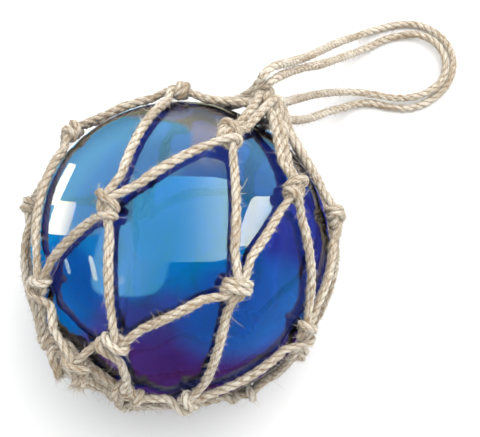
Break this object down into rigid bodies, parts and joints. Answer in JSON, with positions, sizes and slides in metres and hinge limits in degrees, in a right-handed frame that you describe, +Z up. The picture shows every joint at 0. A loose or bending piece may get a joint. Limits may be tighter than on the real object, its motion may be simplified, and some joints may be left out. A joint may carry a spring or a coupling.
{
  "type": "glass float ball",
  "caption": "Sealed ball of blue glass in a knotted rope net, with a doubled rope loop at one end to hang it by; lies on a small flat spot.",
  "frame": {"origin": "middle of the small flat spot under the ball that it rests on, straight below the ball's centre", "axes": "+Z up; the net's axis lies in the XZ plane and leans up 10.6 degrees towards +X, the end where the loop comes out; +Y is level, across the net's axis"},
  "size_m": [0.3084, 0.1608, 0.1542],
  "materials": {
    "glass": "smooth, clear cobalt blue",
    "rope": "natural twisted jute, matt, with loose fibres"
  },
  "bodies": {
    "root": {"glass_ball": "glass", "rope_net": "rope", "loop_rope_outer": "rope", "loop_rope_inner": "rope"}
  },
  "joints": []
}
